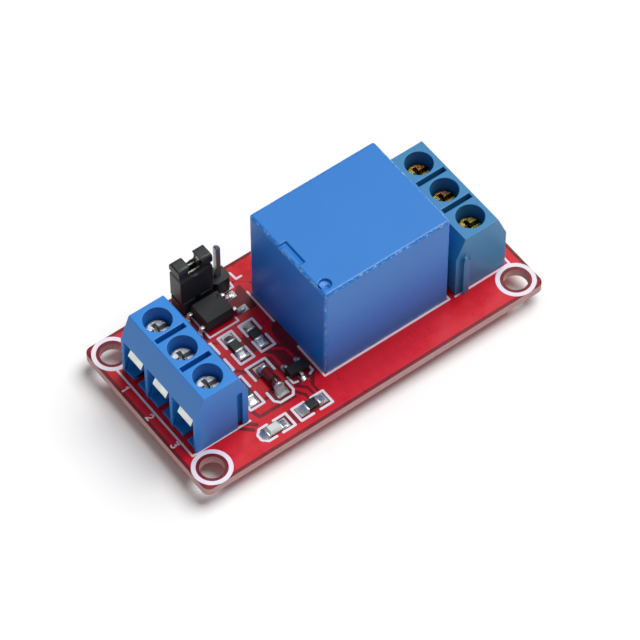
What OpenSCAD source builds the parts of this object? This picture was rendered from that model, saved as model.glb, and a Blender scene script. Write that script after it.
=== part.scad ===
// Single-channel relay module board.
// Origin: centre of the four mounting holes, on the underside of the board.
// +X runs along the board from the control terminal to the switched terminal, +Z points up.

/* [Board] */
// Length of the board
board_l = 51.1; // [50.6:0.1:54]
// Width of the board
board_w = 25.6; // [25.6:0.1:28]
// Thickness of the board
board_t = 1.2; // [1:0.1:1.6]
// Radius of the board's corners
board_r = 1; // [0.5:0.1:2]
// Distance between mounting holes along the board
hole_spacing_x = 46; // [45:0.1:46.6]
// Distance between mounting holes across the board
hole_spacing_y = 20.6; // [20.4:0.1:21]
// Diameter of the mounting holes
hole_d = 3.1; // [2.5:0.1:3.2]
// Length of the solder tails below the board
tail_l = 1.9; // [1.6:0.1:2.5]

/* [Terminal blocks] */
// Number of poles in each block
poles = 3; // [3]
// Distance between poles
pole_pitch = 5.08; // [5:0.01:5.1]
// Distance of each screw row from the middle of the board
block_x = 19.6; // [19.5:0.1:19.8]
// Height of a block
block_h = 10.1; // [10:0.1:10.6]
// Depth of a block in front of its screws, towards the wires
block_front = 3.75; // [3.6:0.05:3.8]
// Depth of a block behind its screws
block_back = 4; // [3.9:0.1:4.1]
// Diameter of the screwdriver holes
driver_hole_d = 3.6; // [3.5:0.1:3.7]
// Diameter of a screw head
head_d = 3.4; // [3.2:0.1:3.4]
// Diameter of a screw's threaded shank
shank_d = 2.44; // [2.4:0.01:2.46]

/* [Relay] */
// Length of the relay
relay_l = 18.8; // [18.6:0.1:19]
// Width of the relay
relay_w = 15.3; // [15:0.1:15.5]
// Height of the relay
relay_h = 15.7; // [15.5:0.1:16.2]
// Middle of the relay along the board
relay_x = 5.22; // [5:0.01:5.3]

/* [Header] */
// Distance between header pins
pin_pitch = 2.54; // [2.54]
// Width of a square header pin
pin_w = 0.64; // [0.6:0.01:0.64]
// Height of the header pins above the board
pin_top = 8.54; // [8:0.01:8.6]

/* [Hidden] */
$fn = 64;
eps = 0.01;

// Colours of the finishes
solder_mask = [0.75, 0.13, 0.18];
block_blue = [0.28, 0.54, 0.84];
relay_blue = [0.25, 0.50, 0.82];
black_plastic = [0.14, 0.15, 0.16];
tin = [0.80, 0.81, 0.82];
zinc = [0.72, 0.73, 0.74];
yellow_zinc = [0.78, 0.68, 0.42];

// Pole positions across the board
pole_ys = [for (i = [0 : poles - 1]) (i - (poles - 1) / 2) * pole_pitch];
block_l = poles * pole_pitch;

// Terminal block section, in the block's frame: +X towards the wires, Z up from the board
block_top_front = 2.4;
block_top_back = 2.65;
block_front_shoulder = 6.6;
block_back_shoulder = 6.95;
wall_t = 0.6;
end_wall_t = 0.55;
floor_t = 0.5;
sill_recess = 0.15;
floor_slot_w = 0.85;
mouth_top = 6.45;
cavity_back = 2.15;
cavity_w = pole_pitch - wall_t;
cavity_limit = block_l / 2 - end_wall_t;
parting_slot_w = 0.7;
parting_slot_back = 2.2;
parting_slot_front = 2.05;
parting_slot_depth = 3.2;

// Clamp: a folded brass frame with a threaded top plate
clamp_w = 3.9;
clamp_back = 2.1;
clamp_front = 2.3;
clamp_top = 5.2;
clamp_top_t = 1.5;
clamp_foot_z = 0.55;
clamp_foot_t = 0.65;
clamp_foot_front = 1.3;
clamp_sheet = 0.7;
nose_w = 2.7;
nose_y = -0.25;
nose_reach = 3.45;
thread_d = 2.56;
tail_x = 0.8;
tail_y = 1;
block_drill_d = 1.4;
relay_drill_d = 1.3;
header_drill_d = 1;
cavity_top = clamp_top + 0.05;

// Screw and the wire guard under it, screwed right down
head_bottom = clamp_top + 0.1;
head_h = 2.8;
guard_w = 3.2;
guard_t = 0.4;
guard_z = clamp_foot_z + clamp_foot_t + 0.08;
screw_tip = guard_z + guard_t + 0.02;

// Dovetail that joins blocks side by side
dovetail_x = -2.75;
dovetail_root = 0.55;
dovetail_tip = 0.95;
dovetail_out = 0.55;
dovetail_h = 6.9;
dovetail_gap = 0.08;

// Relay inner parts, in the relay's frame: origin under the middle of the relay, on the board
relay_y = 0.09;
relay_wall = 0.9;
relay_edge = 0.3;
relay_corner_r = 0.55;
yoke_w = 8;
yoke_t = 1.5;
yoke_back = -7.2;
yoke_foot_z = 2;
yoke_top = 11.2;
core_x = -1;
core_r = 2.15;
core_gap = 0.05;
pole_r = 3;
pole_top = 10.8;
pole_t = 0.85;
hinge_x = yoke_back + yoke_t;
armature_z = yoke_top + 0.05;
armature_t = 1;
blade_t = 0.2;
contact_x = 5.6;
contact_r = 0.9;
contact_t = 0.3;
relay_pin_w = 1;
relay_pin_t = 0.5;
common_pin_x = -7.45;
coil_pin_x = -5.6;
contact_pin_x = 6.6;
outer_pin_y = 6;
blade_z = armature_z + armature_t;

// Header and jumper
header_x = -6.85;
header_y = 10.79;
header_h = 2.54;
header_w = 2.5;
header_chamfer = 0.45;
header_xs = [for (i = [0 : 2]) header_x - i * pin_pitch];
jumper_x = header_x - 1.5 * pin_pitch;
jumper_l = 4.8;
jumper_w = 2.36;
jumper_z = header_h + 0.08;
jumper_top = 8.9;
shoulder_z = 6.95;

// Chips: [x, y, direction of the long side in degrees]
chip_l = 2;
chip_w = 1.25;
chip_h = 0.52;
chip_end = 0.34;
resistor_places = [[-10.46, 2.2, 90], [-7.55, 2.2, 90], [-8.2, -10.2, 0],
                   [-13.6, 2.2, 90], [-13.6, -4.1, 90]];
led_place = [-14, -10.35, 0];
led_l = 2.2;
led_end = 0.22;
diode_place = [-9.95, -4.45, 90];
diode_l = 3.5;
diode_d = 1.45;
diode_cap = 0.45;
opto_place = [-10.05, 7.5];
opto_l = 4.2;
opto_w = 3.6;
opto_pitch = 2.54;
transistor_place = [-6.6, -5.1];

// ---------- shared shapes ----------

// Rectangle with true round corners
module round_rect(l, w, r) {
    square([l - 2 * r, w], center = true);
    square([l, w - 2 * r], center = true);
    for (x = [-1, 1], y = [-1, 1])
        translate([x * (l / 2 - r), y * (w / 2 - r)]) circle(r = r);
}

// Extrudes an outline drawn in X and Z along Y, centred on Y = 0
module along_y(length) {
    rotate([90, 0, 0]) linear_extrude(height = length, center = true) children();
}

// Extrudes an outline drawn in Y and Z along X, centred on X = 0
module along_x(length) {
    rotate([90, 0, 90]) linear_extrude(height = length, center = true) children();
}

// Block with its X and Y sides drawn in towards the top and bottom, as a moulded chip body
module drafted_body(l, w, z0, z1, draft) {
    mid = (z0 + z1) / 2;
    intersection() {
        along_y(w + 1)
            polygon([[-l / 2 + draft, z0], [-l / 2, mid], [-l / 2 + draft, z1],
                     [l / 2 - draft, z1], [l / 2, mid], [l / 2 - draft, z0]]);
        along_x(l + 1)
            polygon([[-w / 2 + draft, z0], [-w / 2, mid], [-w / 2 + draft, z1],
                     [w / 2 - draft, z1], [w / 2, mid], [w / 2 - draft, z0]]);
    }
}

// Gull-wing lead from a chip's side at X = 0 down to its foot on the board
module gull_lead(reach, shoulder, w, t) {
    bend = 0.35;
    along_y(w)
        polygon([[0, shoulder], [bend + t, shoulder], [bend + 2 * t, t], [reach, t], [reach, 0],
                 [bend + t, 0], [bend, shoulder - t], [0, shoulder - t]]);
}

// Puts children on the board's top at a place [x, y, angle]
module on_board(place) {
    translate([place[0], place[1], board_t]) rotate([0, 0, len(place) > 2 ? place[2] : 0]) children();
}

// ---------- board ----------

// Rectangular tails of the two blocks, as [x, y]
block_tails = [for (side = [-1, 1], y = pole_ys) [side * block_x, y]];

// Relay pins, as [x, y, size along x, size along y]
relay_pins = [
    [common_pin_x, 0, relay_pin_t, relay_pin_w],
    [coil_pin_x, -outer_pin_y, relay_pin_t, relay_pin_w],
    [coil_pin_x, outer_pin_y, relay_pin_t, relay_pin_w],
    [contact_pin_x, -outer_pin_y, relay_pin_t, relay_pin_w],
    [contact_pin_x, outer_pin_y, relay_pin_t, relay_pin_w]
];

module drill(x, y, d) {
    translate([x, y, -1]) cylinder(h = board_t + 2, d = d);
}

// Hole for a soldered pin, which its solder hides
module pin_hole(x, y, d) {
    translate([x, y, -1]) cylinder(h = board_t + 2, d = d, $fn = 12);
}

module board() {
    color(solder_mask)
        difference() {
            linear_extrude(height = board_t) round_rect(board_l, board_w, board_r);
            for (x = [-1, 1], y = [-1, 1])
                drill(x * hole_spacing_x / 2, y * hole_spacing_y / 2, hole_d);
            for (p = block_tails) pin_hole(p[0], p[1], block_drill_d);
            for (p = relay_pins) pin_hole(relay_x + p[0], relay_y + p[1], relay_drill_d);
            for (x = header_xs) pin_hole(x, header_y, header_drill_d);
        }
}

solder_h = 1;
solder_pad_r = 1.05;
solder_tip_r = 0.68;

// Solder fillet below the board, round a tail of size l by w
module solder_cone(l, w) {
    difference() {
        translate([0, 0, -solder_h])
            cylinder(h = solder_h, r1 = solder_tip_r, r2 = solder_pad_r, $fn = 12);
        cube([l, w, 3], center = true);
    }
}

module solder_joints() {
    color(tin) {
        for (p = block_tails)
            translate([p[0], p[1], 0]) solder_cone(tail_x, tail_y);
        for (p = relay_pins)
            translate([relay_x + p[0], relay_y + p[1], 0]) solder_cone(p[2], p[3]);
        for (x = header_xs)
            translate([x, header_y, 0]) solder_cone(pin_w, pin_w);
    }
}

// Wedge of solder that climbs a chip's end at X = 0
module solder_wedge(w, rise, reach) {
    along_y(w) polygon([[0, 0], [reach, 0], [reach, 0.06], [reach * 0.45, rise * 0.4], [0, rise]]);
}

module chip_solder(length, w, rise, reach) {
    for (side = [0, 180])
        rotate([0, 0, side]) translate([length / 2, 0, 0]) solder_wedge(w, rise, reach);
}

module smd_solder() {
    color(tin) {
        for (place = resistor_places)
            on_board(place) chip_solder(chip_l, chip_w, 0.42, 0.5);
        on_board(led_place) chip_solder(led_l, chip_w, 0.3, 0.5);
        on_board(diode_place) chip_solder(diode_l, 1.3, 0.8, 0.6);
    }
}

// ---------- terminal blocks ----------

module block_section() {
    polygon([[-block_back, 0], [-block_back, block_back_shoulder], [-block_top_back, block_h],
             [block_top_front, block_h], [block_front, block_front_shoulder], [block_front, 0]]);
}

// Outline of one pole's inside, from its back wall to its mouth
module cavity_section() {
    polygon([[-cavity_back, floor_t], [-cavity_back, cavity_top], [clamp_front, cavity_top],
             [clamp_front + 0.5, mouth_top], [block_front + 1, mouth_top], [block_front + 1, floor_t]]);
}

// Dovetail seen from above: wider at its outer face than at its root
module dovetail_outline(grow) {
    polygon([[-dovetail_root / 2 - grow, eps], [-dovetail_tip / 2 - grow, -dovetail_out - grow],
             [dovetail_tip / 2 + grow, -dovetail_out - grow], [dovetail_root / 2 + grow, eps]]);
}

// Rib of the dovetail, or its groove when grown by the fitting gap, with a round top
module dovetail(grow) {
    r = dovetail_tip / 2 + grow;
    translate([dovetail_x, 0, 0])
        intersection() {
            translate([0, 0, -grow]) linear_extrude(height = dovetail_h + 2) dovetail_outline(grow);
            along_y(4) {
                translate([-r - 0.1, -1]) square([2 * r + 0.2, dovetail_h - r + 1]);
                translate([0, dovetail_h - r]) circle(r = r);
            }
        }
}

// Room for one pole, kept clear of the end walls, with its children extruded along Y
module pole_room(y) {
    low = max(y - cavity_w / 2, -cavity_limit);
    high = min(y + cavity_w / 2, cavity_limit);
    translate([0, (low + high) / 2, 0]) along_y(high - low) children();
}

// Housing of one block. Wires enter on +X; the rib is on -Y and the groove on +Y.
module block_housing() {
    difference() {
        union() {
            along_y(block_l) block_section();
            translate([0, -block_l / 2, 0]) dovetail(0);
        }
        translate([0, block_l / 2, 0]) dovetail(dovetail_gap);
        for (y = pole_ys) {
            pole_room(y) cavity_section();
            pole_room(y) translate([block_front - sill_recess, -1]) square([2, floor_t + 2]);
            translate([0.7, y - floor_slot_w / 2, -1]) cube([4, floor_slot_w, floor_t + 2]);
            translate([0, y, 0]) cube([1.2, 1.4, 4], center = true);
            translate([0, y, clamp_top]) cylinder(h = block_h, d = driver_hole_d);
        }
        for (y = [for (i = [1 : poles - 1]) (i - poles / 2) * pole_pitch])
            translate([-parting_slot_back, y - parting_slot_w / 2, block_h - parting_slot_depth])
                cube([parting_slot_back + parting_slot_front, parting_slot_w, parting_slot_depth + 1]);
    }
}

// Folded frame: foot, back, and a threaded top plate with a nose that guides the wire in
module clamp() {
    top_z = clamp_top - clamp_top_t;
    difference() {
        union() {
            along_y(clamp_w)
                polygon([[-clamp_back, clamp_foot_z], [-clamp_back, clamp_top], [clamp_front, clamp_top],
                         [clamp_front, top_z], [-clamp_back + clamp_sheet, top_z],
                         [-clamp_back + clamp_sheet, clamp_foot_z + clamp_foot_t],
                         [clamp_foot_front, clamp_foot_z + clamp_foot_t], [clamp_foot_front, clamp_foot_z]]);
            translate([0, nose_y, 0]) along_y(nose_w)
                polygon([[clamp_front - eps, top_z], [clamp_front - eps, clamp_top],
                         [nose_reach - 0.6, clamp_top], [nose_reach, clamp_top - 1.25],
                         [nose_reach, clamp_top - 1.5], [nose_reach - 0.25, top_z - 0.15]]);
            translate([-tail_x / 2, -tail_y / 2, -board_t - tail_l])
                cube([tail_x, tail_y, board_t + tail_l + clamp_foot_z + eps]);
        }
        translate([0, 0, clamp_foot_z + clamp_foot_t + eps]) cylinder(h = block_h, d = thread_d);
    }
}

// Pan head with crossed slots on a full shank
module clamp_screw() {
    head_top = head_bottom + head_h;
    difference() {
        rotate_extrude()
            polygon([[0, screw_tip], [shank_d / 2 - 0.25, screw_tip], [shank_d / 2, screw_tip + 0.25],
                     [shank_d / 2, head_bottom], [head_d / 2, head_bottom], [head_d / 2, head_top - 0.35],
                     [head_d / 2 - 0.35, head_top], [0, head_top]]);
        translate([0, 0, head_top]) {
            cube([head_d + 1, 0.6, 1.8], center = true);
            cube([0.55, 2.1, 2], center = true);
        }
    }
}

// Pressure plate under the screw, its front lip turned down
module wire_guard() {
    translate([0, 0, guard_z])
        along_y(guard_w)
            polygon([[-1.25, 0], [-1.25, guard_t], [1.35, guard_t], [1.75, guard_t - 0.15], [1.9, -0.3],
                     [1.6, -0.3], [1.45, 0]]);
}

// The input block faces -X and the output block faces +X
module input_side(i) {
    translate([-block_x, pole_ys[i], board_t]) rotate([0, 0, 180]) children();
}

module output_side(i) {
    translate([block_x, pole_ys[i], board_t]) children();
}

module input_housing() {
    color(block_blue) translate([-block_x, 0, board_t]) rotate([0, 0, 180]) block_housing();
}

module output_housing() {
    color(block_blue) translate([block_x, 0, board_t]) block_housing();
}

module input_clamp(i) { color(tin) input_side(i) clamp(); }
module input_screw(i) { color(zinc) input_side(i) clamp_screw(); }
module input_guard(i) { color(tin) input_side(i) wire_guard(); }
module output_clamp(i) { color(tin) output_side(i) clamp(); }
module output_screw(i) { color(yellow_zinc) output_side(i) clamp_screw(); }
module output_guard(i) { color(tin) output_side(i) wire_guard(); }

// ---------- relay ----------

module in_relay() {
    translate([relay_x, relay_y, board_t]) children();
}

// Upright outline of a box with its two top corners cut off
module bevelled_top(width, height, bevel) {
    half = width / 2;
    polygon([[-half, 0], [-half, height - bevel], [-half + bevel, height],
             [half - bevel, height], [half, height - bevel], [half, 0]]);
}

// Outside of the cover: round upright corners and bevelled top edges
module cover_outside() {
    intersection() {
        linear_extrude(height = relay_h) round_rect(relay_l, relay_w, relay_corner_r);
        along_y(relay_w + 1) bevelled_top(relay_l, relay_h, relay_edge);
        along_x(relay_l + 1) bevelled_top(relay_w, relay_h, relay_edge);
    }
}

// L-shaped groove on the -X edge of the top, round a slightly lower tab
module gate_groove() {
    edge = -relay_l / 2 - 1;
    groove_x = -8.58;
    groove_w = 0.45;
    groove_depth = 0.35;
    translate([groove_x, -2, relay_h - groove_depth]) cube([groove_w, 3.8, 1]);
    translate([edge, 1.35, relay_h - groove_depth]) cube([groove_x - edge + eps, groove_w, 1]);
    translate([edge, -2, relay_h - 0.1]) cube([groove_x - edge + eps, 3.5, 1]);
}

// Round dimple in the near corner of the top, with the vent's blind hole in it
module vent_dimple() {
    translate([-8.2, -6.04, relay_h - 0.4]) cylinder(h = 1, d = 1.54);
    translate([-8.05, -6.25, relay_h - 0.65]) cylinder(h = 1, d = 0.4);
}

module relay_cover() {
    inner_l = relay_l - 2 * relay_wall;
    inner_w = relay_w - 2 * relay_wall;
    color(relay_blue)
        in_relay()
            difference() {
                cover_outside();
                translate([-inner_l / 2, -inner_w / 2, -1])
                    cube([inner_l, inner_w, relay_h - relay_wall + 1]);
                gate_groove();
                vent_dimple();
            }
}

module relay_pin_slot(p) {
    translate([p[0], p[1], 0]) cube([p[2], p[3], 12], center = true);
}

module relay_base() {
    base_l = relay_l - 2 * relay_wall - 0.04;
    base_w = relay_w - 2 * relay_wall - 0.04;
    color(black_plastic)
        in_relay()
            difference() {
                translate([-base_l / 2, -base_w / 2, 0.3]) cube([base_l, base_w, yoke_foot_z - 0.3]);
                for (p = relay_pins) relay_pin_slot(p);
            }
}

module relay_yoke() {
    foot_front = 3;
    color(zinc)
        in_relay()
            difference() {
                along_y(yoke_w)
                    polygon([[yoke_back, yoke_foot_z], [yoke_back, yoke_top], [hinge_x, yoke_top],
                             [hinge_x, yoke_foot_z + yoke_t], [foot_front, yoke_foot_z + yoke_t],
                             [foot_front, yoke_foot_z]]);
                translate([core_x, 0, 0]) cylinder(h = 6, r = core_r + core_gap);
            }
}

module relay_core() {
    color(zinc)
        in_relay() translate([core_x, 0, 0]) {
            translate([0, 0, yoke_foot_z]) cylinder(h = pole_top - yoke_foot_z, r = core_r);
            translate([0, 0, pole_top - pole_t]) cylinder(h = pole_t, r = pole_r);
        }
}

bobbin_z = yoke_foot_z + yoke_t + 0.05;
flange_t = 0.8;
upper_flange_z = pole_top - pole_t - 0.05 - flange_t;

module relay_bobbin() {
    flange = 8.8;
    color("ivory")
        in_relay()
            difference() {
                union() {
                    for (z = [bobbin_z, upper_flange_z])
                        translate([core_x - flange / 2, -flange / 2, z]) cube([flange, flange, flange_t]);
                    translate([core_x, 0, bobbin_z])
                        cylinder(h = upper_flange_z - bobbin_z + eps, r = core_r + 0.55);
                    for (y = [-outer_pin_y, outer_pin_y])
                        translate([coil_pin_x + 0.5, y * 0.915, bobbin_z + flange_t / 2])
                            cube([2.2, 2.22, flange_t], center = true);
                }
                translate([core_x, 0, 0]) cylinder(h = relay_h, r = core_r + core_gap);
                for (y = [-outer_pin_y, outer_pin_y])
                    relay_pin_slot([coil_pin_x, y, relay_pin_t, relay_pin_w]);
            }
}

module relay_coil() {
    color([0.62, 0.33, 0.18])
        in_relay() translate([core_x, 0, bobbin_z + flange_t + 0.03])
            difference() {
                cylinder(h = upper_flange_z - bobbin_z - flange_t - 0.06, r = 4.1);
                translate([0, 0, -1]) cylinder(h = 12, r = core_r + 0.6);
            }
}

// Flat pin from the tip below the board up to a height
module relay_pin(x, y, top) {
    translate([x - relay_pin_t / 2, y - relay_pin_w / 2, -board_t - tail_l])
        cube([relay_pin_t, relay_pin_w, board_t + tail_l + top]);
}

module relay_coil_pins() {
    color(tin)
        in_relay()
            for (y = [-outer_pin_y, outer_pin_y]) relay_pin(coil_pin_x, y, bobbin_z + flange_t + 0.6);
}

module relay_common_terminal() {
    color(tin)
        in_relay() {
            relay_pin(common_pin_x, 0, 3);
            translate([common_pin_x - relay_pin_t / 2, -1.6, yoke_foot_z]) cube([relay_pin_t, 3.2, 7.4]);
        }
}

// Fixed contact: pin, riser, arm over the middle, and a contact button above or below the arm
module fixed_contact(side, arm_z, arm_t, button_z, button_h) {
    relay_pin(contact_pin_x, side * outer_pin_y, arm_z + arm_t);
    arm_l = outer_pin_y + relay_pin_w / 2 + contact_r;
    arm_w = contact_pin_x + relay_pin_t / 2 - contact_x + 0.7;
    translate([contact_x - 0.7, side > 0 ? -contact_r : contact_r - arm_l, arm_z])
        cube([arm_w, arm_l, arm_t]);
    translate([contact_x, 0, button_z]) cylinder(h = button_h, r = contact_r);
}

nc_button_z = blade_z + blade_t + contact_t + 0.03;

module relay_nc_terminal() {
    color(tin) in_relay() fixed_contact(1, nc_button_z + contact_t, 0.4, nc_button_z, contact_t + eps);
}

no_button_top = blade_z - contact_t - 0.67;

module relay_no_terminal() {
    arm_t = 0.42;
    button_z = no_button_top - contact_t;
    color(tin) in_relay() fixed_contact(-1, button_z - arm_t, arm_t, button_z - eps, contact_t + eps);
}

module relay_armature() {
    color(zinc)
        in_relay()
            translate([yoke_back, -yoke_w / 2, armature_z]) cube([9.8, yoke_w, armature_t]);
}

module relay_contact_spring() {
    color([0.80, 0.58, 0.35])
        in_relay() {
            translate([yoke_back - 0.9, -2.6, blade_z]) cube([9.8, 5.2, blade_t]);
            translate([0, -1.3, blade_z]) cube([contact_x + 1, 2.6, blade_t]);
            translate([yoke_back - 0.9, -1.6, blade_z - 2]) cube([blade_t, 3.2, 2 + eps]);
            translate([contact_x, 0, blade_z - contact_t])
                cylinder(h = 2 * contact_t + blade_t, r = contact_r);
        }
}

// ---------- header and jumper ----------

module header_base() {
    half = header_w / 2;
    cut = header_chamfer;
    seg = pin_pitch / 2;
    color(black_plastic)
        difference() {
            for (x = header_xs)
                translate([x, header_y, board_t])
                    linear_extrude(height = header_h)
                        polygon([[-seg, -half + cut], [-seg + cut, -half], [seg - cut, -half],
                                 [seg, -half + cut], [seg, half - cut], [seg - cut, half],
                                 [-seg + cut, half], [-seg, half - cut]]);
            for (x = header_xs)
                translate([x, header_y, board_t]) cube([pin_w, pin_w, 12], center = true);
        }
}

// Square pin with both ends tapered on all four sides
module header_pin() {
    tip = 0.12;
    taper = 0.45;
    low = -tail_l;
    high = board_t + pin_top;
    module side_view()
        polygon([[-tip, low], [-pin_w / 2, low + taper], [-pin_w / 2, high - taper], [-tip, high],
                 [tip, high], [pin_w / 2, high - taper], [pin_w / 2, low + taper], [tip, low]]);
    intersection() {
        along_y(pin_w) side_view();
        along_x(pin_w) side_view();
    }
}

module header_pins() {
    color(tin) for (x = header_xs) translate([x, header_y, 0]) header_pin();
}

sleeve_l = 4.2;
sleeve_w = 1.12;
sleeve_gap = 0.04;
sleeve_z = jumper_z + 0.3;
sleeve_top = 7.1;

// Upright outline of the cap, half as wide as its body: shoulder, waist for the fingers, round grip
module cap_outline(half, waist, grip, crown_r) {
    right = [[half, jumper_z], [half, shoulder_z - 0.1], [half - 0.1, shoulder_z],
             [waist, shoulder_z + 0.25], [waist, shoulder_z + 0.45], [grip, shoulder_z + 0.7],
             [grip, jumper_top - crown_r], [grip - crown_r, jumper_top]];
    left = [for (i = [len(right) - 1 : -1 : 0]) [-right[i][0], right[i][1]]];
    polygon(concat(right, left));
    for (side = [-1, 1])
        translate([side * (grip - crown_r), jumper_top - crown_r]) circle(r = crown_r);
}

// Cap of the jumper: closed sides, and a round saddle that leaves a grip at each end
module jumper_cap() {
    saddle_z = 7.9;
    saddle_r = 1.15;
    mouth_w = 1.6;
    well = 0.85;
    room_h = sleeve_top + 0.1 - jumper_z;
    well_h = pin_top + 0.06 - jumper_z;
    color(black_plastic)
        translate([jumper_x, header_y, board_t])
            difference() {
                intersection() {
                    along_x(jumper_l + 1) cap_outline(jumper_w / 2, 0.98, 1.1, 0.6);
                    along_y(jumper_w + 1) cap_outline(jumper_l / 2, 2.25, 2.5, 0.25);
                }
                translate([0, 0, saddle_z]) along_y(4) circle(r = saddle_r);
                translate([0, 0, jumper_top]) cube([mouth_w, 4, 1.2], center = true);
                // room for the contact, and a well for each pin
                translate([0, 0, jumper_z])
                    cube([sleeve_l + 0.06, sleeve_w + 0.06, 2 * room_h], center = true);
                for (x = [-1, 1])
                    translate([x * pin_pitch / 2, 0, jumper_z]) cube([well, well, 2 * well_h], center = true);
            }
}

module jumper_contact() {
    height = sleeve_top - sleeve_z;
    color([0.85, 0.78, 0.55])
        translate([jumper_x, header_y, board_t + sleeve_z + height / 2])
            difference() {
                cube([sleeve_l, sleeve_w, height], center = true);
                cube([sleeve_l - 0.4, pin_w + 2 * sleeve_gap, height + 1], center = true);
            }
}

// ---------- surface-mounted parts ----------

module optocoupler_body() {
    color(black_plastic)
        on_board(opto_place)
            difference() {
                drafted_body(opto_l, opto_w, 0.15, 2.15, 0.16);
                translate([opto_l / 2 - 0.75, opto_w / 2 - 0.75, 2.05]) cylinder(h = 1, d = 0.6);
            }
}

module optocoupler_leads() {
    color(tin)
        on_board(opto_place)
            for (side = [0, 180], y = [-opto_pitch / 2, opto_pitch / 2])
                rotate([0, 0, side]) translate([opto_l / 2, y, 0]) gull_lead(1.75, 1.25, 0.5, 0.2);
}

module transistor_body() {
    color(black_plastic)
        on_board(transistor_place) drafted_body(2.9, 1.3, 0.08, 1.08, 0.08);
}

module transistor_leads() {
    color(tin)
        on_board(transistor_place) {
            for (x = [-0.95, 0.95])
                translate([x, 0.65, 0]) rotate([0, 0, 90]) gull_lead(0.75, 0.65, 0.42, 0.13);
            translate([0, -0.65, 0]) rotate([0, 0, -90]) gull_lead(0.75, 0.65, 0.42, 0.13);
        }
}

module diode_glass() {
    color([0.62, 0.25, 0.18])
        on_board(diode_place)
            translate([0, 0, diode_d / 2]) rotate([0, 90, 0])
                cylinder(h = diode_l - 2 * diode_cap, d = diode_d - 0.1, center = true);
}

module diode_caps() {
    color(tin)
        on_board(diode_place)
            for (x = [-1, 1])
                translate([x * (diode_l - diode_cap) / 2, 0, diode_d / 2]) rotate([0, 90, 0])
                    cylinder(h = diode_cap, d = diode_d, center = true);
}

// Ceramic carrier with a clear bevelled lens
module power_led() {
    lens_l = led_l - 2 * led_end;
    color([0.85, 0.92, 0.86])
        on_board(led_place) {
            translate([-lens_l / 2, -chip_w / 2, 0]) cube([lens_l, chip_w, 0.35]);
            drafted_lens(lens_l - 0.06, chip_w - 0.06, 0.34, 0.8);
        }
}

module drafted_lens(l, w, z0, z1) {
    intersection() {
        along_y(w) polygon([[-l / 2, z0], [-l / 2 + 0.14, z1], [l / 2 - 0.14, z1], [l / 2, z0]]);
        along_x(l) polygon([[-w / 2, z0], [-w / 2 + 0.14, z1], [w / 2 - 0.14, z1], [w / 2, z0]]);
    }
}

module power_led_ends() {
    color(tin)
        on_board(led_place)
            for (x = [-1, 1])
                translate([x * (led_l - led_end) / 2, 0, 0.2]) cube([led_end, chip_w, 0.4], center = true);
}

module resistor(i) {
    body_l = chip_l - 2 * chip_end;
    color([0.12, 0.13, 0.13])
        on_board(resistor_places[i])
            translate([-body_l / 2, -chip_w / 2, 0]) cube([body_l, chip_w, chip_h]);
}

module resistor_ends() {
    color(tin)
        for (place = resistor_places)
            on_board(place)
                for (x = [-1, 1])
                    translate([x * (chip_l - chip_end) / 2, 0, chip_h / 2])
                        cube([chip_end, chip_w, chip_h], center = true);
}

// ---------- nodes ----------

board();
solder_joints();
smd_solder();
input_housing();
input_clamp(0);  // input_clamp_1
input_clamp(1);  // input_clamp_2
input_clamp(2);  // input_clamp_3
input_screw(0);  // input_screw_1
input_screw(1);  // input_screw_2
input_screw(2);  // input_screw_3
input_guard(0);  // input_guard_1
input_guard(1);  // input_guard_2
input_guard(2);  // input_guard_3
output_housing();
output_clamp(0);  // output_clamp_1
output_clamp(1);  // output_clamp_2
output_clamp(2);  // output_clamp_3
output_screw(0);  // output_screw_1
output_screw(1);  // output_screw_2
output_screw(2);  // output_screw_3
output_guard(0);  // output_guard_1
output_guard(1);  // output_guard_2
output_guard(2);  // output_guard_3
relay_cover();
relay_base();
relay_yoke();
relay_core();
relay_bobbin();
relay_coil();
relay_coil_pins();
relay_common_terminal();
relay_nc_terminal();
relay_no_terminal();
relay_armature();
relay_contact_spring();
header_base();
header_pins();
jumper_cap();
jumper_contact();
optocoupler_body();
optocoupler_leads();
transistor_body();
transistor_leads();
diode_glass();
diode_caps();
power_led();
power_led_ends();
resistor(0);  // resistor_1
resistor(1);  // resistor_2
resistor(2);  // resistor_3
resistor(3);  // resistor_4
resistor(4);  // resistor_5
resistor_ends();
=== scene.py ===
"""Looks of the single-channel relay module board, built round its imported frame.

The board lies flat with its component side up. Every length in the classes is in
millimetres from the centre of the four mounting holes on the underside of the board, and is
turned to metres where a mesh is made.
"""

import logging
import math
from dataclasses import dataclass, field
from enum import Enum
from functools import partial
from typing import Callable, Iterable, Sequence

import bmesh
import bpy
from bpy.types import Material, Node, NodeSocket, NodeTree
from mathutils import Matrix, Vector
from mathutils.geometry import delaunay_2d_cdt


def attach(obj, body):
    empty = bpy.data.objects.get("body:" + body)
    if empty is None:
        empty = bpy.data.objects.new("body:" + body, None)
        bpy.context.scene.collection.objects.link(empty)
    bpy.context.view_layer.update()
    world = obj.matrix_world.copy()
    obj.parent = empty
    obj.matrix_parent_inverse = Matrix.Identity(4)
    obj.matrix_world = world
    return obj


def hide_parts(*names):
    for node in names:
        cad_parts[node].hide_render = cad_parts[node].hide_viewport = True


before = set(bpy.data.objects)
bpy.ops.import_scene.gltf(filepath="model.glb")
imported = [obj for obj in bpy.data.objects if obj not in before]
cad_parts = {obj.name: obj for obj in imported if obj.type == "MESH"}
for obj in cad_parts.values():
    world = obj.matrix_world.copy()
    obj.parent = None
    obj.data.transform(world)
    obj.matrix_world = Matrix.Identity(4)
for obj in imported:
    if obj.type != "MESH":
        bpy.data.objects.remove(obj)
log = logging.getLogger("relay_module")
MM = 0.001
Point = tuple[float, float]
Point3 = tuple[float, float, float]
Colour = tuple[float, float, float, float]
Adder = Callable[..., Node]


# ---------------------------------------------------------------- colours and the node helper


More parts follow.
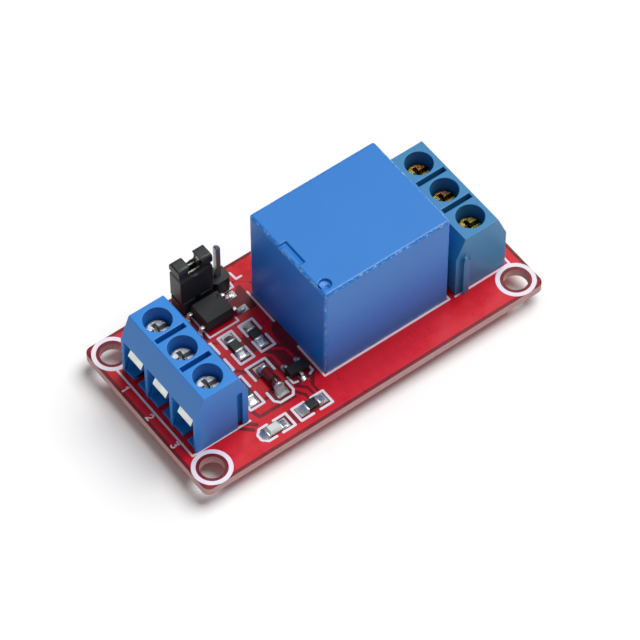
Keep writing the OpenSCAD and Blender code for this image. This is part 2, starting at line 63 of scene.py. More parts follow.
def linear(hex_colour: str) -> Colour:
    """Turn an sRGB hex colour into the linear values that shaders take.

    Args:
        hex_colour: a # and six hex digits.

    Returns:
        Red, green, blue and an alpha of 1, linear.
    """
    parts = [int(hex_colour[i : i + 2], 16) / 255 for i in (1, 3, 5)]
    values = [c / 12.92 if c <= 0.04045 else ((c + 0.055) / 1.055) ** 2.4 for c in parts]
    return (values[0], values[1], values[2], 1.0)


def toned(hex_colour: str, factor: float) -> Colour:
    """A hex colour made darker or lighter by a factor, in linear light."""
    red, green, blue, alpha = linear(hex_colour)
    return (min(1.0, red * factor), min(1.0, green * factor), min(1.0, blue * factor), alpha)


def scale_for(size_mm: float) -> float:
    """Texture scale at which one feature is size_mm across, for coordinates in metres."""
    return 1.0 / (size_mm * MM)


def add_node(tree: NodeTree, kind: str, settings: dict | None = None, links: dict | None = None) -> Node:
    """Add one shader node with its settings and its incoming links.

    Args:
        tree: the material's node tree.
        kind: the node's Blender type name, after ShaderNode.
        settings: node properties, socket names or socket numbers, and their values.
        links: input socket name or number, and what feeds it: an output socket, or a node whose
            first output in use is taken.

    Returns:
        The new node.
    """
    made = tree.nodes.new("ShaderNode" + kind)
    for key, value in (settings or {}).items():
        if isinstance(key, str) and hasattr(made, key):
            setattr(made, key, value)
        else:
            made.inputs[key].default_value = value
    for key, source in (links or {}).items():
        if isinstance(source, Node):
            source = next(socket for socket in source.outputs if socket.enabled)
        tree.links.new(source, made.inputs[key])
    return made


# ---------------------------------------------------------------- finishes


@dataclass(frozen=True)
class SurfaceFinish:
    """What every finish shares: name, colour and roughness, and how its material begins and ends."""

    name: str
    colour: str
    roughness: float = 0.3

    def begin(self) -> tuple[Adder, NodeSocket]:
        """Make the material, with an empty node tree.

        Returns:
            A function that adds nodes to the tree, and the place of each point in metres.
        """
        made = bpy.data.materials.new(self.name)
        made.use_nodes = True
        made.node_tree.nodes.clear()
        add = partial(add_node, made.node_tree)
        return add, add("TexCoord").outputs["Object"]

    def tones(self, dark: float, light: float) -> dict:
        """Settings of a mix that runs from a darker to a lighter tone of the colour."""
        return {"data_type": "RGBA", 6: toned(self.colour, dark), 7: toned(self.colour, light)}

    def spread(self, low: float, high: float, start: float = 0.3, stop: float = 0.7) -> dict:
        """Settings that map a pattern from start to stop to factors of the roughness."""
        return {"From Min": start, "From Max": stop, "To Min": self.roughness * low,
                "To Max": self.roughness * high}

    def end(self, add: Adder, settings: dict, links: dict) -> Material:
        """Close the tree with the surface shader.

        Args:
            add: adds nodes to the material's tree.
            settings: the shader's plain values.
            links: what feeds its other sockets.

        Returns:
            The finished material.
        """
        shader = add("BsdfPrincipled", settings, links)
        add("OutputMaterial", links={"Surface": shader})
        return bpy.data.materials[self.name]


@dataclass(frozen=True)
class MouldedPlastic(SurfaceFinish):
    """Injection-moulded thermoplastic: even colour, fine eroded grain and slight sink marks."""

    roughness: float = 0.38
    ior: float = 1.5
    grain_mm: float = 0.22
    grain_depth_mm: float = 0.004
    sink_mm: float = 5.0
    sink_depth_mm: float = 0.02
    shade: float = 0.06
    coat: float = 0.0
    subsurface: float = 0.0
    pale_edge_middle: Point3 = (0.0, 0.0, 0.0)
    pale_edge_half: Point3 = (0.0, 0.0, 0.0)
    pale_edge_colour: str = "#C6DAF2"
    # pale dashes painted along the edges, each about half a millimetre long, in a band along each edge
    pale_dash_mm: float = 0.55
    pale_dash_full_mm: float = 0.15
    pale_dash_end_mm: float = 0.34
    pale_dash_amount: float = 0.75

    def make(self) -> Material:
        """Build the material: colour drifts a little, grain and sink marks are bump.

        Returns:
            The finished material.
        """
        add, spot = self.begin()
        drift = add("TexNoise", {"Scale": scale_for(self.sink_mm), "Detail": 3.0}, {"Vector": spot})
        tint = add("Mix", self.tones(1 - self.shade, 1 + self.shade), {0: drift})
        grain = add("TexNoise", {"Scale": scale_for(self.grain_mm), "Detail": 2.0}, {"Vector": spot})
        rough = add("MapRange", self.spread(0.88, 1.15), {"Value": grain})
        sink = add("Bump", {"Strength": 0.5, "Distance": self.sink_depth_mm * MM}, {"Height": drift})
        skin = add("Bump", {"Strength": 0.6, "Distance": self.grain_depth_mm * MM},
                   {"Height": grain, "Normal": sink})
        colour = self._pale_edges(add, spot, tint) if max(self.pale_edge_half) > 0 else tint
        return self.end(add, {"IOR": self.ior, "Coat Weight": self.coat, "Coat Roughness": 0.08,
                              "Subsurface Weight": self.subsurface, "Subsurface Scale": 0.6 * MM},
                        {"Base Color": colour, "Roughness": rough, "Normal": skin})

    def _pale_edges(self, add: Adder, spot: NodeSocket, colour: Node) -> Node:
        """Paint a box-shaped moulding pale in dashes along its edges.

        Args:
            add: adds nodes to the material's tree.
            spot: the place of each point.
            colour: node that gives the plastic's colour so far.

        Returns:
            The node that mixes the pale dashes in.
        """
        middle, half = (tuple(v * MM for v in sizes) for sizes in (self.pale_edge_middle, self.pale_edge_half))
        offset = add("VectorMath", {"operation": "SUBTRACT", 1: middle}, {0: spot})
        reach = add("VectorMath", {"operation": "ABSOLUTE"}, {0: offset})
        depth = add("VectorMath", {"operation": "SUBTRACT", 0: half}, {1: reach})
        axes = add("SeparateXYZ", links={0: depth})
        x, y, z = axes.outputs
        # two depths are small at an edge, so the second smallest of the three tells how near it is
        upright = add("Math", {"operation": "MAXIMUM"}, {0: x, 1: y})
        wall = add("Math", {"operation": "MINIMUM"}, {0: x, 1: y})
        rim = add("Math", {"operation": "MAXIMUM"}, {0: z, 1: wall})
        near = add("Math", {"operation": "MINIMUM"}, {0: upright, 1: rim})
        edge = add("MapRange", {"From Min": self.pale_dash_full_mm * MM, "From Max": self.pale_dash_end_mm * MM,
                                "To Min": 1.0, "To Max": 0.0}, {"Value": near})
        dashes = add("TexNoise", {"Scale": scale_for(self.pale_dash_mm), "Detail": 5.0, "Roughness": 0.75},
                     {"Vector": spot})
        patch = add("MapRange", {"From Min": 0.5, "From Max": 0.62}, {"Value": dashes})
        amount = add("Math", {"operation": "MULTIPLY"}, {0: edge, 1: patch})
        soft = add("Math", {"operation": "MULTIPLY", 1: self.pale_dash_amount}, {0: amount})
        return add("Mix", {"data_type": "RGBA", 7: linear(self.pale_edge_colour)}, {0: soft, 6: colour})


@dataclass(frozen=True)
class PlatedMetal(SurfaceFinish):
    """Plated or bare metal sheet and wire, with fine drawing or rolling lines along one axis."""

    roughness: float = 0.28
    line_mm: float = 0.12
    line_depth_mm: float = 0.002
    stretch: Point3 = (1.0, 1.0, 0.08)
    mottle: float = 0.10
    mottle_mm: float = 0.9

    def make(self) -> Material:
        """Build the material: stretched noise gives rolling lines, a wider one the mottle.

        Returns:
            The finished material.
        """
        add, spot = self.begin()
        drawn = add("Mapping", {"Scale": self.stretch}, {"Vector": spot})
        lines = add("TexNoise", {"Scale": scale_for(self.line_mm), "Detail": 2.0}, {"Vector": drawn})
        mottle = add("TexNoise", {"Scale": scale_for(self.mottle_mm), "Detail": 3.0}, {"Vector": spot})
        tint = add("Mix", self.tones(1 - self.mottle, 1 + self.mottle), {0: mottle})
        rough = add("MapRange", self.spread(0.75, 1.3), {"Value": mottle})
        bump = add("Bump", {"Strength": 0.7, "Distance": self.line_depth_mm * MM}, {"Height": lines})
        return self.end(add, {"Metallic": 1.0}, {"Base Color": tint, "Roughness": rough, "Normal": bump})


@dataclass(frozen=True)
class TurnedHead(SurfaceFinish):
    """Plated screw head: fine rings from the heading die round the piece's own middle."""

    roughness: float = 0.25
    rings: float = 9.0
    ring_depth_mm: float = 0.012
    stain_mm: float = 0.34
    dent_depth_mm: float = 0.12
    bloom: tuple[str, ...] = ()
    bloom_mm: float = 2.6

    def make(self) -> Material:
        """Build the material: rings follow the distance from the middle of the piece's box.

        Returns:
            The finished material.
        """
        add, spot = self.begin()
        centred = add("VectorMath", {"operation": "SUBTRACT", 1: (0.5, 0.5, 0.5)},
                      {0: spot.node.outputs["Generated"]})
        flat = add("VectorMath", {"operation": "MULTIPLY", 1: (1.0, 1.0, 0.0)}, {0: centred})
        reach = add("VectorMath", {"operation": "LENGTH"}, {0: flat})
        phase = add("Math", {"operation": "MULTIPLY", 1: self.rings * 4 * math.pi}, {0: reach})
        ring = add("Math", {"operation": "SINE"}, {0: phase})
        stain = add("TexNoise", {"Scale": scale_for(self.stain_mm), "Detail": 5.0, "Roughness": 0.7},
                    {"Vector": spot})
        tint = add("Mix", self.tones(0.3, 1.5), {0: stain})
        colour = self._bloomed(add, spot, tint) if self.bloom else tint
        rough = add("MapRange", self.spread(0.6, 1.5), {"Value": stain})
        dents = add("Bump", {"Strength": 0.9, "Distance": self.dent_depth_mm * MM}, {"Height": stain})
        bump = add("Bump", {"Strength": 0.7, "Distance": self.ring_depth_mm * MM},
                   {"Height": ring, "Normal": dents})
        return self.end(add, {"Metallic": 1.0}, {"Base Color": colour, "Roughness": rough, "Normal": bump})

    def _bloomed(self, add: Adder, spot: NodeSocket, colour: Node) -> Node:
        """Tint the plating with the rainbow of its chromate film.

        Args:
            add: adds nodes to the material's tree.
            spot: the place of each point.
            colour: node that gives the plating's colour so far.

        Returns:
            The node that multiplies the film's hues in.
        """
        drift = add("TexNoise", {"Scale": scale_for(self.bloom_mm), "Detail": 1.0}, {"Vector": spot})
        film = add("ValToRGB", links={"Fac": drift})
        first, last = 0.36, 0.64
        stops = film.color_ramp.elements
        stops[0].position, stops[1].position = first, last
        stops[0].color, stops[1].color = linear(self.bloom[0]), linear(self.bloom[-1])
        for i, hue in enumerate(self.bloom[1:-1], 1):
            stops.new(first + (last - first) * i / (len(self.bloom) - 1)).color = linear(hue)
        return add("Mix", {"data_type": "RGBA", "blend_type": "MULTIPLY", 0: 1.0}, {6: colour, 7: film})


@dataclass(frozen=True)
class SolderMask(SurfaceFinish):
    """Photo-imaged epoxy mask: a glossy red film, bright over copper and maroon over laminate."""

    roughness: float = 0.24
    weave_mm: float = 0.9
    # the cloth comes out about twice as wide as it is, so that it shows
    weave_coarse: float = 6.0
    weave: float = 0.05
    flow_mm: float = 2.4
    peel_depth_mm: float = 0.012
    side_colour: str = ""
    side_roughness: float = 0.8
    # glass cloth plies are about 0.2 mm thick, and are drawn coarser so that they show
    ply_mm: float = 0.5

    def make(self) -> Material:
        """Build the material: the glass weave shows faintly, and a cut side shows raw laminate.

        Returns:
            The finished material.
        """
        add, spot = self.begin()
        warp, weft = (add("TexWave", {"wave_type": "BANDS", "bands_direction": axis, "Distortion": 1.2,
                                      "Detail": 2.0, "Scale": scale_for(self.weave_mm) / self.weave_coarse},
                          {"Vector": spot}).outputs["Fac"] for axis in "XY")
        cloth = add("Math", {"operation": "MULTIPLY"}, {0: warp, 1: weft})
        flow = add("TexNoise", {"Scale": scale_for(self.flow_mm), "Detail": 3.0}, {"Vector": spot})
        blend = add("Math", {"operation": "ADD"}, {0: cloth, 1: flow})
        colour = add("Mix", self.tones(1 - 2 * self.weave, 1 + self.weave), {0: blend})
        gloss = add("MapRange", self.spread(0.8, 1.3), {"Value": flow})
        if self.side_colour:
            colour, gloss = self._cut_side(add, spot, colour, gloss)
        peel = add("Bump", {"Strength": 0.35, "Distance": self.peel_depth_mm * MM}, {"Height": blend})
        return self.end(add, {"IOR": 1.4}, {"Base Color": colour, "Roughness": gloss, "Normal": peel})

    def _cut_side(self, add: Adder, spot: NodeSocket, colour: Node, gloss: Node) -> tuple[Node, Node]:
        """Mix in the raw laminate on upright faces.

        Args:
            add: adds nodes to the material's tree.
            spot: the place of each point.
            colour: node that gives the mask's colour so far.
            gloss: node that gives its roughness so far.

        Returns:
            The nodes that mix the cut side into the colour and into the roughness.
        """
        facing = add("SeparateXYZ", links={0: spot.node.outputs["Normal"]})
        flatness = add("Math", {"operation": "ABSOLUTE"}, {0: facing.outputs["Z"]})
        side = add("Math", {"operation": "LESS_THAN", 1: 0.5}, {0: flatness})
        stretched = add("Mapping", {"Scale": (0.35, 0.35, 2.2)}, {"Vector": spot})
        plies = add("TexNoise", {"Scale": scale_for(self.ply_mm), "Detail": 4.0, "Roughness": 0.7},
                    {"Vector": stretched})
        fibre = add("Mix", {"data_type": "RGBA", 6: toned(self.side_colour, 0.55),
                            7: toned(self.side_colour, 1.3)}, {0: plies})
        return (add("Mix", {"data_type": "RGBA"}, {0: side, 6: colour, 7: fibre}),
                add("Mix", {"data_type": "FLOAT", 3: self.side_roughness}, {0: side, 2: gloss}))


@dataclass(frozen=True)
class Solder(SurfaceFinish):
    """Reflowed tin solder: bright and rounded, with a faint crystalline dullness."""

    roughness: float = 0.2
    frost_mm: float = 0.15
    pool_mm: float = 0.6
    pool_depth_mm: float = 0.06

    def make(self) -> Material:
        """Build the material: small cells give the frost of the frozen surface.

        Returns:
            The finished material.
        """
        add, spot = self.begin()
        frost = add("TexVoronoi", {"Scale": scale_for(self.frost_mm)}, {"Vector": spot})
        pool = add("TexNoise", {"Scale": scale_for(self.pool_mm), "Detail": 2.0}, {"Vector": spot})
        tint = add("Mix", self.tones(0.72, 1.15), {0: pool})
        rough = add("MapRange", self.spread(0.6, 1.6, 0.0, 0.8), {"Value": frost})
        dent = add("Bump", {"Strength": 0.6, "Distance": self.pool_depth_mm * MM}, {"Height": pool})
        return self.end(add, {"Metallic": 1.0}, {"Base Color": tint, "Roughness": rough, "Normal": dent})


@dataclass(frozen=True)
class ClearCast(SurfaceFinish):
    """Glass or clear resin with a tint: light passes through and picks up the colour."""

    roughness: float = 0.05
    transmission: float = 0.7
    streak_mm: float = 0.5

    def make(self) -> Material:
        """Build the material: faint streaks in the melt vary the tint.

        Returns:
            The finished material.
        """
        add, spot = self.begin()
        streak = add("TexNoise", {"Scale": scale_for(self.streak_mm), "Detail": 3.0}, {"Vector": spot})
        tint = add("Mix", self.tones(0.8, 1.2), {0: streak})
        return self.end(add, {"IOR": 1.5, "Transmission Weight": self.transmission,
                              "Roughness": self.roughness}, {"Base Color": tint})


@dataclass(frozen=True)
class WoundWire(SurfaceFinish):
    """Enamelled copper wire in close turns, stacked up the height of the coil."""

    roughness: float = 0.35
    wire_mm: float = 0.16
    # bands come out about twice as wide as one turn, so that they show
    wire_coarse: float = 6.28
    wire_depth_mm: float = 0.03

    def make(self) -> Material:
        """Build the material: bands up the height of the coil for its turns.

        Returns:
            The finished material.
        """
        add, spot = self.begin()
        turns = add("TexWave", {"wave_type": "BANDS", "bands_direction": "Z", "Distortion": 0.3,
                                "Scale": scale_for(self.wire_mm) / self.wire_coarse},
                    {"Vector": spot}).outputs["Fac"]
        tint = add("Mix", self.tones(0.55, 1.0), {0: turns})
        bump = add("Bump", {"Strength": 0.8, "Distance": self.wire_depth_mm * MM}, {"Height": turns})
        return self.end(add, {"Metallic": 0.8, "Roughness": self.roughness, "Coat Weight": 0.6,
                              "Coat Roughness": 0.1}, {"Base Color": tint, "Normal": bump})


@dataclass(frozen=True)
class PaperSweep(SurfaceFinish):
    """Matt studio paper with a faint tooth."""

    roughness: float = 0.9
    tooth_mm: float = 0.6
    tooth_depth_mm: float = 0.01

    def make(self) -> Material:
        """Build the material: white, without gloss.

        Returns:
            The finished material.
        """
        add, spot = self.begin()
        tooth = add("TexNoise", {"Scale": scale_for(self.tooth_mm)}, {"Vector": spot})
        bump = add("Bump", {"Strength": 0.1, "Distance": self.tooth_depth_mm * MM}, {"Height": tooth})
        return self.end(add, {"Base Color": linear(self.colour), "Roughness": self.roughness,
                              "Specular IOR Level": 0.0}, {"Normal": bump})


class Finish(Enum):
    """Every finish on the module, named for what the real surface is."""

    # glass-filled nylon of the terminal blocks: sky blue, smooth, a soft window of light on it
    BLOCK_NYLON = MouldedPlastic("terminal_nylon_blue", "#1A80D5", roughness=0.36, shade=0.05)
    # the switched block comes from a greyer batch of the same nylon
    BLOCK_NYLON_GREY = MouldedPlastic("terminal_nylon_grey_blue", "#2C7FB2", roughness=0.36, shade=0.05)
    # polyester relay cover: slightly deeper blue with a satin top and faint flow marks, and pale dashes
    # painted along its edges
    RELAY_COVER = MouldedPlastic("relay_polyester_blue", "#1478CE", roughness=0.36, shade=0.05, sink_mm=7.0,
                                 grain_mm=0.3, coat=0.05, pale_edge_middle=(5.22, 0.09, 9.05),
                                 pale_edge_half=(9.4, 7.65, 7.85))
    # black glass-filled nylon of the header and the jumper: dull with grey grain
    HEADER_NYLON = MouldedPlastic("header_nylon_black", "#1E2123", roughness=0.46, shade=0.25, sink_mm=1.6,
                                  sink_depth_mm=0.03)
    # epoxy mould compound of chip bodies: matt charcoal from the eroded tool
    MOULD_COMPOUND = MouldedPlastic("chip_epoxy_black", "#15181A", roughness=0.58, shade=0.18, grain_mm=0.12,
                                    grain_depth_mm=0.006, sink_mm=1.2, sink_depth_mm=0.01)
    # thick-film resistor coat: near-black glaze with rounded gloss
    RESISTOR_GLAZE = MouldedPlastic("resistor_glaze_black", "#202426", roughness=0.35, shade=0.2,
                                    grain_mm=0.15, sink_mm=0.8)
    RESISTOR_GREEN = MouldedPlastic("resistor_glaze_green", "#22382F", roughness=0.35, shade=0.25,
                                    grain_mm=0.15, sink_mm=0.8)
    # natural nylon of the bobbin: milky
    BOBBIN_NYLON = MouldedPlastic("bobbin_nylon_natural", "#E6E1D3", roughness=0.45, subsurface=0.2)
    # screen-printed epoxy ink: dead flat, faintly lilac over the red
    LEGEND_INK = MouldedPlastic("legend_ink_white", "#EEE4EE", roughness=0.6, shade=0.07, grain_mm=0.1,
                                grain_depth_mm=0.006, sink_mm=1.5, sink_depth_mm=0.002)
    # mask over copper reads bright crimson, over bare laminate a dark maroon
    MASK_ON_COPPER = SolderMask("mask_over_copper", "#D31024", roughness=0.3)
    MASK_ON_LAMINATE = SolderMask("mask_over_laminate", "#76131D", roughness=0.3, weave=0.1,
                                  side_colour="#CEA2A0")
    # reflowed joints, and tin on the pads round them
    SOLDER = Solder("reflowed_solder", "#DADCDB", roughness=0.3)
    PAD_TIN = PlatedMetal("pad_tin", "#A7A9A9", roughness=0.4, line_mm=0.3, mottle=0.3)
    # tin-plated brass of the clamps: pale and satin, warm where the brass shows through
    CLAMP_TIN = PlatedMetal("clamp_tin_plate", "#E6EAE6", roughness=0.42, stretch=(1.0, 0.1, 1.0),
                            mottle=0.05)
    GUARD_ZINC = PlatedMetal("guard_zinc_plate", "#BFC2C4", roughness=0.35, stretch=(1.0, 0.1, 1.0))
    # clear-passivated and yellow-passivated zinc on the two blocks' screws
    SCREW_CLEAR = TurnedHead("screw_zinc_clear", "#D4D8D4", roughness=0.42)
    SCREW_YELLOW = TurnedHead("screw_zinc_yellow", "#C4B08C", roughness=0.3,
                              bloom=("#CF5A56", "#E0AE78", "#C3D67C", "#C79A94"), bloom_mm=4.5)
    # drawn and tinned wire of the pins and the chips' lead frames
    PIN_TIN = PlatedMetal("pin_tin_plate", "#BFC4BE", roughness=0.38, line_mm=0.1)
    LEAD_TIN = PlatedMetal("lead_tin_plate", "#D4D6D6", roughness=0.42, line_mm=0.1, stretch=(1.0, 1.0, 1.0))
    JUMPER_STRIP = PlatedMetal("jumper_strip_bright", "#D9D2BE", roughness=0.22)
    # inside the relay: nickel-plated iron, phosphor bronze, tinned terminals and the winding
    RELAY_IRON = PlatedMetal("relay_iron_nickel", "#A9AAA8", roughness=0.38, stretch=(0.1, 1.0, 1.0))
    SPRING_BRONZE = PlatedMetal("spring_phosphor_bronze", "#C78F5E", roughness=0.3, stretch=(0.1, 1.0, 1.0))
    WINDING = WoundWire("winding_enamelled_copper", "#B4602F")
    # reddish diode glass, and the clear lens and pale carrier of the light
    DIODE_GLASS = ClearCast("diode_glass_red", "#8E2019", transmission=0.35, roughness=0.08)
    BAND_INK = MouldedPlastic("diode_band_black", "#131313", roughness=0.3, shade=0.2, grain_mm=0.1,
                              sink_mm=0.6)
    LENS_RESIN = ClearCast("lens_resin_clear", "#E3F1E4", transmission=0.12, roughness=0.15)
    # matt white paper that the board lies on
    PAPER = PaperSweep("paper_white", "#FDFDFD")

    def material(self) -> Material:
        """Return the finish's material, made on first use."""
        return bpy.data.materials.get(self.value.name) or self.value.make()


# ---------------------------------------------------------------- mesh helpers


class Layer(Enum):
    """Films on the board, as lowest and highest height in millimetres from the face that they lie on."""

    COPPER = (0.0, 0.03)
    TIN = (0.0, 0.045)
    LEGEND = (0.03, 0.05)
    COPPER_UNDER = (-0.03, 0.0)
    TIN_UNDER = (-0.05, 0.0)


def arc(x: float, y: float, r: float, start: float, sweep: float, steps: int) -> list[Point]:
    """Points along an arc round x, y.

    Args:
        x: middle of the arc along the board.
        y: middle across the board.
        r: radius.
        start: direction of the first point, in radians.
        sweep: angle from the first point to the last.
        steps: sides of the arc.

    Returns:
        The points, one more than there are sides.
    """
    angles = [start + sweep * i / steps for i in range(steps + 1)]
    return [(x + r * math.cos(a), y + r * math.sin(a)) for a in angles]


def disc(x: float, y: float, r: float, steps: int = 40) -> list[Point]:
    """Round outline of radius r at x, y."""
    return arc(x, y, r, 0.0, 2 * math.pi, steps)[:-1]


def turned(points: Iterable[Point], x: float, y: float, angle: float, size: float = 1.0) -> list[Point]:
    """Size a shape, turn it and move its origin.

    Args:
        points: the shape.
        x: where its origin goes along the board.
        y: where its origin goes across the board.
        angle: how far it turns, in degrees.
        size: what its lengths are multiplied by.

    Returns:
        The moved points.
    """
    ca, sa = size * math.cos(math.radians(angle)), size * math.sin(math.radians(angle))
    return [(x + px * ca - py * sa, y + px * sa + py * ca) for px, py in points]


def bar(x: float, y: float, length: float, width: float, angle: float = 0.0,
        corner: float = 0.0) -> list[Point]:
    """Outline of a rectangle with optional cut corners.

    Args:
        x: middle along the board.
        y: middle across the board.
        length: size along the bar.
        width: size across the bar.
        angle: direction of the bar in degrees.
        corner: size of the corner cuts.

    Returns:
        The outline, anticlockwise.
    """
    a, b, c = length / 2, width / 2, corner
    shape = [(a, -b), (a, b), (-a, b), (-a, -b)]
    if c > 0:
        shape = [(a, -b + c), (a, b - c), (a - c, b), (-a + c, b),
                 (-a, b - c), (-a, -b + c), (-a + c, -b), (a - c, -b)]
    return turned(shape, x, y, angle)


def stroke(points: Sequence[Point], width: float, steps: int = 5) -> list[list[Point]]:
    """Round-ended stroke along a run of points.

    Args:
        points: the run.
        width: width of the stroke.
        steps: sides of each round end.

    Returns:
        One outline for each leg of the run.
    """
    shapes = []
    for (x0, y0), (x1, y1) in zip(points, points[1:]):
        across = math.atan2(y1 - y0, x1 - x0) - math.pi / 2
        shapes.append(arc(x1, y1, width / 2, across, math.pi, steps)
                      + arc(x0, y0, width / 2, across + math.pi, math.pi, steps))
    return shapes


def inside(point: Point, shape: Sequence[Point]) -> bool:
    """Tell whether a point lies inside an outline.

    Args:
        point: the point.
        shape: the outline.

    Returns:
        True inside it.
    """
    x, y = point
    hit = False
    for (x0, y0), (x1, y1) in zip(shape, list(shape[1:]) + [shape[0]]):
        if (y0 > y) != (y1 > y) and x < (x1 - x0) * (y - y0) / (y1 - y0) + x0:
            hit = not hit
    return hit


@dataclass
class Artwork:
    """Flat artwork painted shape over shape, where a later shape covers an earlier one."""

    shapes: list[tuple[list[Point], bool]] = field(default_factory=list)

    def add(self, *outlines: Iterable[Point]) -> None:
        """Paint outlines as film."""
        self.shapes += [(list(o), True) for o in outlines]

    def cut(self, *outlines: Iterable[Point]) -> None:
        """Paint outlines as open."""
        self.shapes += [(list(o), False) for o in outlines]

    def mesh(self, name: str, low: float, high: float) -> bpy.types.Mesh:
        """Turn the painted film into one closed plate.

        Args:
            name: the mesh's name.
            low: height of the film's foot in millimetres.
            high: height of its top.

        Returns:
            The mesh, in metres.
        """
        verts: list[Vector] = []
        faces: list[list[int]] = []
        for outline, _ in self.shapes:
            faces.append(list(range(len(verts), len(verts) + len(outline))))
            verts += [Vector(p) for p in outline]
        points, _, tiles, *_ = delaunay_2d_cdt(verts, [], faces, 1, 1e-5)
        boxes = [(min(p[0] for p in o), max(p[0] for p in o), min(p[1] for p in o), max(p[1] for p in o))
                 for o, _ in self.shapes]
        bm = bmesh.new()
        made = [bm.verts.new((p[0] * MM, p[1] * MM, high * MM)) for p in points]
        for tile in tiles:
            cx = sum(points[i][0] for i in tile) / len(tile)
            cy = sum(points[i][1] for i in tile) / len(tile)
            film = False
            for (outline, solid), (x0, x1, y0, y1) in zip(reversed(self.shapes), reversed(boxes)):
                if x0 <= cx <= x1 and y0 <= cy <= y1 and inside((cx, cy), outline):
                    film = solid
                    break
            if film:
                bm.faces.new([made[i] for i in tile])
        bmesh.ops.delete(bm, geom=[v for v in bm.verts if not v.link_faces], context="VERTS")
        bmesh.ops.recalc_face_normals(bm, faces=bm.faces)
        if bm.faces and sum(f.normal.z for f in bm.faces) < 0:
            bmesh.ops.reverse_faces(bm, faces=bm.faces)
        bmesh.ops.dissolve_limit(bm, angle_limit=0.01, verts=bm.verts, edges=bm.edges)
        skirt = bmesh.ops.extrude_face_region(bm, geom=bm.faces[:])
        top = [g for g in skirt["geom"] if isinstance(g, bmesh.types.BMVert)]
        for v in bm.verts:
            v.co.z = low * MM
        for v in top:
            v.co.z = high * MM
        bmesh.ops.recalc_face_normals(bm, faces=bm.faces)
        mesh = bpy.data.meshes.new(name)
        bm.to_mesh(mesh)
        bm.free()
        return mesh


def placed(name: str, mesh: bpy.types.Mesh, finish: Finish, body: str, slot: str) -> bpy.types.Object:
    """Put a mesh into the scene as a piece of the module.

    Args:
        name: the piece's name.
        mesh: its mesh, in metres in the module's frame.
        finish: what its surface is.
        body: the body that it moves with.
        slot: the record's material slot; not used.

    Returns:
        The new object.
    """
    piece = bpy.data.objects.new(name, mesh)
    bpy.context.scene.collection.objects.link(piece)
    mesh.materials.append(finish.material())
    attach(piece, body)
    log.info("%s: %d faces, %s", name, len(mesh.polygons), finish.value.name)
    return piece


def softened(node: str, name: str, finish: Finish, body: str, slot: str, width: float,
             segments: int = 2, angle: float = 28.0) -> bpy.types.Object:
    """Stand a copy of a frame solid, with its edges rounded, in the solid's place.

    Args:
        node: the solid that it stands for.
        name: the piece's name.
        finish: what its surface is.
        body: the body that it moves with.
        slot: the record's material slot, passed on to placed, which does not use it.
        width: width of the rounded edges in millimetres.
        segments: sides of each rounded edge.
        angle: edges sharper than this are rounded, in degrees.

    Returns:
        The new object.
    """
    bm = bmesh.new()
    bm.from_mesh(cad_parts[node].data)
    bmesh.ops.remove_doubles(bm, verts=bm.verts, dist=2e-6)
    bmesh.ops.dissolve_limit(bm, angle_limit=math.radians(0.6), verts=bm.verts, edges=bm.edges)
    mesh = bpy.data.meshes.new(name)
    bm.to_mesh(mesh)
    bm.free()
    mesh.shade_smooth()
    piece = placed(name, mesh, finish, body, slot)
    edge = piece.modifiers.new("rounded_edges", "BEVEL")
    edge.width = width * MM
    edge.segments = segments
    edge.limit_method = "ANGLE"
    edge.angle_limit = math.radians(angle)
    edge.use_clamp_overlap = False
    flat = piece.modifiers.new("flat_faces", "WEIGHTED_NORMAL")
    flat.mode = "FACE_AREA"
    flat.weight = 90
    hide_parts(node)
    return piece


def dress(node: str, finish: Finish) -> None:
    """Give a frame solid its finish.

    Args:
        node: the solid.
        finish: what its surface is.
    """
    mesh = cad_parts[node].data
    for i in range(max(1, len(mesh.materials))):
        if mesh.materials:
            mesh.materials[i] = finish.material()
        else:
            mesh.materials.append(finish.material())
    log.info("%s: %s", node, finish.value.name)


def revolved(profile: Sequence[Point], place: Matrix, steps: int = 40) -> bmesh.types.BMesh:
    """Turn a profile of radius and height round the Z axis.

    Args:
        profile: radius and height pairs in millimetres, from one end of the axis to the other.
        place: where the turned shape goes, in metres.
        steps: sides of the turned shape.

    Returns:
        A new bmesh, closed where the profile meets the axis.
    """
    bm = bmesh.new()
    rows = []
    for r, h in profile:
        ring = disc(0.0, 0.0, r * MM, steps) if r > 0 else [(0.0, 0.0)]
        rows.append([bm.verts.new((x, y, h * MM)) for x, y in ring])
    for low, high in zip(rows, rows[1:]):
        for i in range(steps):
            j = (i + 1) % steps
            side = [low[i % len(low)], low[j % len(low)], high[j % len(high)], high[i % len(high)]]
            corners = list(dict.fromkeys(side))
            if len(corners) > 2:
                bm.faces.new(corners)
    bmesh.ops.recalc_face_normals(bm, faces=bm.faces)
    bm.transform(place)
    return bm


def joined(name: str, parts: Sequence[bmesh.types.BMesh], smooth: float = 40.0) -> bpy.types.Mesh:
    """Collect separate solids into one mesh.

    Args:
        name: the mesh's name.
        parts: the solids, which are freed.
        smooth: edges flatter than this are shaded smooth, in degrees.

    Returns:
        The mesh.
    """
    mesh = bpy.data.meshes.new(name)
    whole = bmesh.new()
    for part in parts:
        scrap = bpy.data.meshes.new("scrap")
        part.to_mesh(scrap)
        part.free()
        whole.from_mesh(scrap)
        bpy.data.meshes.remove(scrap)
    whole.to_mesh(mesh)
    whole.free()
    mesh.shade_smooth()
    mesh.set_sharp_from_angle(angle=math.radians(smooth))
    return mesh


# ---------------------------------------------------------------- sub-assemblies


